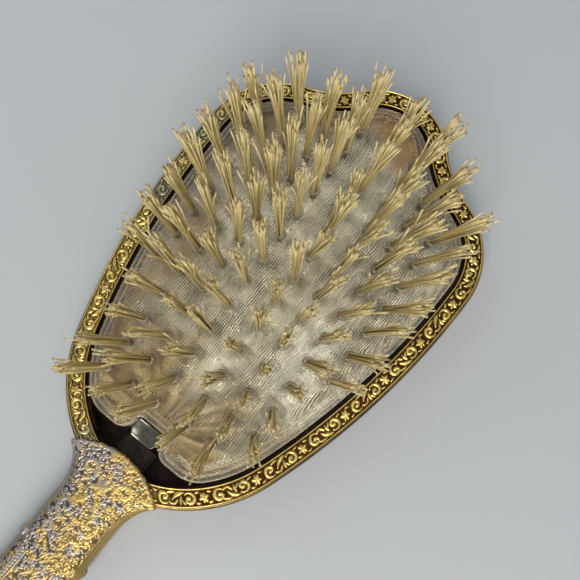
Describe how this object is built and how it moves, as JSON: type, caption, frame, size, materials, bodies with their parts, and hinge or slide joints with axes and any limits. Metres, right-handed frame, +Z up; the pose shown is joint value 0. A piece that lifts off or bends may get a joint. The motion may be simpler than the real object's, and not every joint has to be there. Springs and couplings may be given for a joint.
{
  "type": "vanity hairbrush",
  "caption": "Vanity hairbrush with a shield-shaped gilt head, engraved bezel, lift-out clear bristle block held by a spring catch, and a chased metal handle.",
  "frame": {"origin": "on the flat back of the head, in the middle of the head's length and width", "axes": "+Z up with the bristles; +Y from the handle to the tip; +X to the right seen from above"},
  "size_m": [0.084, 0.23, 0.0382],
  "materials": {
    "gilt_casing": "worn gilt",
    "gilt_back": "worn gilt, pressed relief",
    "gilt_bezel": "engraved gilt with dark patina",
    "dark_tray": "dark brown, semi-gloss",
    "steel": "plain",
    "dark_strip": "tarnished spring steel",
    "bright_plate": "mirror bright",
    "chased_handle": "chased relief, silver-grey wear over gilt",
    "clear_block": "clear moulded plastic, aged",
    "silvered_sheet": "mottled silver",
    "anchor_wire": "bright wire",
    "nylon": "translucent cream filament"
  },
  "bodies": {
    "frame": {"head_shell": "gilt_casing", "back_panel": "gilt_back", "bezel": "gilt_bezel", "tray_liner": "dark_tray", "tang": "steel", "heel_rivets": "steel", "catch_foot": "dark_strip", "handle_rod": "steel", "handle_front": "chased_handle", "handle_back": "chased_handle", "handle_end_cap": "chased_handle"},
    "block": {"bristle_block": "clear_block", "block_backing": "silvered_sheet", "tuft_anchors": "anchor_wire", "tufts_row_01": "nylon", "tufts_row_02": "nylon", "tufts_row_03": "nylon", "tufts_row_04": "nylon", "tufts_row_05": "nylon", "tufts_row_06": "nylon", "tufts_row_07": "nylon", "tufts_row_08": "nylon", "tufts_row_09": "nylon", "tufts_row_10": "nylon", "tufts_row_11": "nylon", "tufts_row_12": "nylon", "tufts_row_13": "nylon"},
    "catch": {"catch_plate": "bright_plate"}
  },
  "joints": [
    {"name": "block_lift", "type": "hinge", "parent": "frame", "child": "block", "pos_m": [0, 0.0568, 0.0075], "axis": [-1, 0, 0], "range_deg": [0, 15]},
    {"name": "catch_flex", "type": "hinge", "parent": "frame", "child": "catch", "pos_m": [0, -0.0524, 0.00445], "axis": [1, 0, 0], "range_deg": [0, 10], "stiffness_Nm_per_rad": 0.05}
  ]
}
